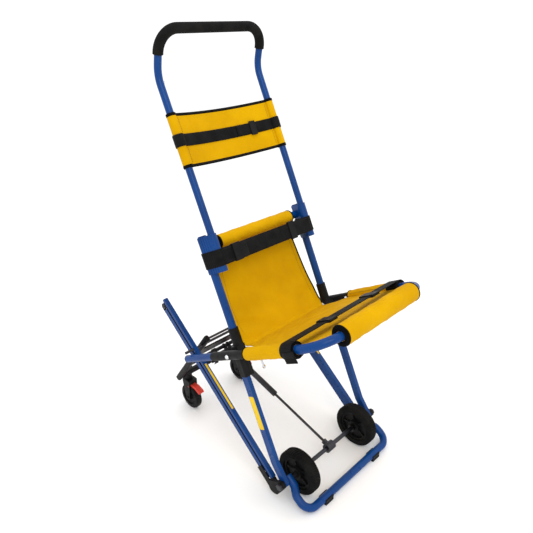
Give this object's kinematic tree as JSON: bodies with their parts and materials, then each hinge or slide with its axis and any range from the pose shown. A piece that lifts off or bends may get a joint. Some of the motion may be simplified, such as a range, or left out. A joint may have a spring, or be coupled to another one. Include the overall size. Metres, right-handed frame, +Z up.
{
  "type": "folding evacuation stair chair",
  "caption": "Folding evacuation stair chair with tube frame, sling seat, belt tracks, telescopic handle, main wheels and a folding castor frame.",
  "frame": {"origin": "centre of the bounding box, on the floor", "axes": "+Z up, -Y towards the front of the seat, +X to the right seen from the front"},
  "size_m": [0.5349, 0.8199, 1.3732],
  "materials": {
    "blue_tube": "blue gloss paint on aluminium",
    "yellow_cloth": "woven nylon",
    "black_web": "woven webbing",
    "black_plastic": "moulded",
    "black_metal": "black powder coat on aluminium",
    "foam": "foam grip",
    "tyre": "rubber",
    "belt": "belt",
    "bright_steel": "bright steel",
    "dark_steel": "black oxide",
    "red_plastic": "moulded",
    "grey_cylinder": "dark grey coat"
  },
  "bodies": {
    "root": {"main_tubes": "blue_tube", "legs": "blue_tube", "tube_sleeves": "black_plastic", "brackets": "blue_tube", "back_cross_tube": "blue_tube", "floor_loop": "blue_tube", "loop_feet": "black_plastic", "axle": "dark_steel", "axle_spacers": "dark_steel", "axle_nuts": "bright_steel", "seat_pivot_bolts": "bright_steel", "back_roll": "yellow_cloth", "back_sling": "yellow_cloth", "chest_strap": "black_web", "chest_buckle": "black_plastic", "chest_tongue": "black_plastic", "chest_adjuster": "black_plastic"},
    "handle": {"handle_tube": "blue_tube", "handle_grip": "foam", "headrest_sling": "yellow_cloth", "head_strap": "black_web", "head_strap_keeper": "black_plastic"},
    "handle_button": {"handle_button": "bright_steel"},
    "seat": {"seat_tube": "blue_tube", "seat_plugs": "black_plastic", "rail_covers": "black_plastic", "side_sleeves": "yellow_cloth", "cover_screws": "bright_steel", "front_roll": "yellow_cloth", "seat_panel": "yellow_cloth", "lap_strap": "black_web", "lap_buckles": "black_plastic", "seat_clip": "bright_steel"},
    "tracks": {"track_rails": "blue_tube", "track_belts": "belt", "track_housings": "black_plastic", "pivot_rod": "dark_steel"},
    "castor_frame": {"castor_arms": "black_metal", "castor_cross_rod": "dark_steel", "castor_plate": "black_metal", "castor_lower_bar": "black_metal", "strut_ears": "black_metal", "frame_clip": "black_plastic"},
    "strut_rod": {"strut_rod": "dark_steel"},
    "strut_cylinder": {"strut_cylinder": "grey_cylinder"},
    "pulley_front_left": {"pulley_front_left": "dark_steel"},
    "pulley_front_right": {"pulley_front_right": "dark_steel"},
    "pulley_rear_left": {"pulley_rear_left": "dark_steel"},
    "pulley_rear_right": {"pulley_rear_right": "dark_steel"},
    "castor_left": {"castor_fork_left": "black_plastic"},
    "castor_wheel_left": {"castor_wheel_left": "black_plastic"},
    "castor_pedal_left": {"castor_pedal_left": "red_plastic"},
    "wheel_left": {"main_tyre_left": "tyre", "main_hub_left": "black_plastic"},
    "castor_right": {"castor_fork_right": "black_plastic"},
    "castor_wheel_right": {"castor_wheel_right": "black_plastic"},
    "castor_pedal_right": {"castor_pedal_right": "red_plastic"},
    "wheel_right": {"main_tyre_right": "tyre", "main_hub_right": "black_plastic"}
  },
  "joints": [
    {"name": "seat_fold", "type": "hinge", "parent": "root", "child": "seat", "pos_m": [0, -0.03329, 0.46721], "axis": [-1, 0, 0], "range_deg": [0, 68]},
    {"name": "track_fold", "type": "hinge", "parent": "root", "child": "tracks", "pos_m": [0, -0.222, 0.075], "axis": [1, 0, 0], "range_deg": [0, 19.5]},
    {"name": "castor_frame_fold", "type": "hinge", "parent": "tracks", "child": "castor_frame", "pos_m": [0, 0.18187, 0.38415], "axis": [-1, 0, 0], "range_deg": [0, 55]},
    {"name": "strut_swing", "type": "hinge", "parent": "root", "child": "strut_rod", "pos_m": [0, -0.222, 0.075], "axis": [1, 0, 0], "range_deg": [0, 26.5]},
    {"name": "strut_slide", "type": "slide", "parent": "strut_rod", "child": "strut_cylinder", "axis": [0, 0.9485, 0.3168], "range_m": [-0.142, 0]},
    {"name": "handle_slide", "type": "slide", "parent": "root", "child": "handle", "axis": [0, 0.4051, 0.9143], "range_m": [-0.15, 0]},
    {"name": "handle_button_press", "type": "slide", "parent": "handle", "child": "handle_button", "axis": [-1, 0, 0], "range_m": [0, 0.0025], "stiffness_N_per_m": 400},
    {"name": "wheel_left_spin", "type": "hinge", "parent": "root", "child": "wheel_left", "pos_m": [-0.149, -0.222, 0.075], "axis": [1, 0, 0], "continuous": true},
    {"name": "castor_left_swivel", "type": "hinge", "parent": "castor_frame", "child": "castor_left", "pos_m": [-0.126, 0.368, 0.128], "axis": [0, 0, 1], "continuous": true},
    {"name": "castor_wheel_left_spin", "type": "hinge", "parent": "castor_left", "child": "castor_wheel_left", "pos_m": [-0.126, 0.36, 0.05], "axis": [1, 0, 0], "continuous": true},
    {"name": "castor_pedal_left_press", "type": "hinge", "parent": "castor_left", "child": "castor_pedal_left", "pos_m": [-0.126, 0.352, 0.104], "axis": [1, 0, 0], "range_deg": [0, 8]},
    {"name": "pulley_front_left_spin", "type": "hinge", "parent": "tracks", "child": "pulley_front_left", "pos_m": [-0.217, -0.14566, 0.05896], "axis": [1, 0, 0], "continuous": true},
    {"name": "pulley_rear_left_spin", "type": "hinge", "parent": "tracks", "child": "pulley_rear_left", "pos_m": [-0.217, 0.33293, 0.48988], "axis": [1, 0, 0], "continuous": true},
    {"name": "wheel_right_spin", "type": "hinge", "parent": "root", "child": "wheel_right", "pos_m": [0.149, -0.222, 0.075], "axis": [1, 0, 0], "continuous": true},
    {"name": "castor_right_swivel", "type": "hinge", "parent": "castor_frame", "child": "castor_right", "pos_m": [0.126, 0.368, 0.128], "axis": [0, 0, 1], "continuous": true},
    {"name": "castor_wheel_right_spin", "type": "hinge", "parent": "castor_right", "child": "castor_wheel_right", "pos_m": [0.126, 0.36, 0.05], "axis": [1, 0, 0], "continuous": true},
    {"name": "castor_pedal_right_press", "type": "hinge", "parent": "castor_right", "child": "castor_pedal_right", "pos_m": [0.126, 0.352, 0.104], "axis": [1, 0, 0], "range_deg": [0, 8]},
    {"name": "pulley_front_right_spin", "type": "hinge", "parent": "tracks", "child": "pulley_front_right", "pos_m": [0.217, -0.14566, 0.05896], "axis": [1, 0, 0], "continuous": true},
    {"name": "pulley_rear_right_spin", "type": "hinge", "parent": "tracks", "child": "pulley_rear_right", "pos_m": [0.217, 0.33293, 0.48988], "axis": [1, 0, 0], "continuous": true}
  ],
  "couplings": [
    {"joint": "track_fold", "follows": "seat_fold", "ratio": 0.277},
    {"joint": "castor_frame_fold", "follows": "seat_fold", "ratio": 0.8},
    {"joint": "strut_swing", "follows": "seat_fold", "ratio": 0.3774},
    {"joint": "strut_slide", "follows": "seat_fold", "m_per_rad": -0.1179},
    {"joint": "pulley_rear_left_spin", "follows": "pulley_front_left_spin", "ratio": 1},
    {"joint": "pulley_rear_right_spin", "follows": "pulley_front_right_spin", "ratio": 1}
  ]
}
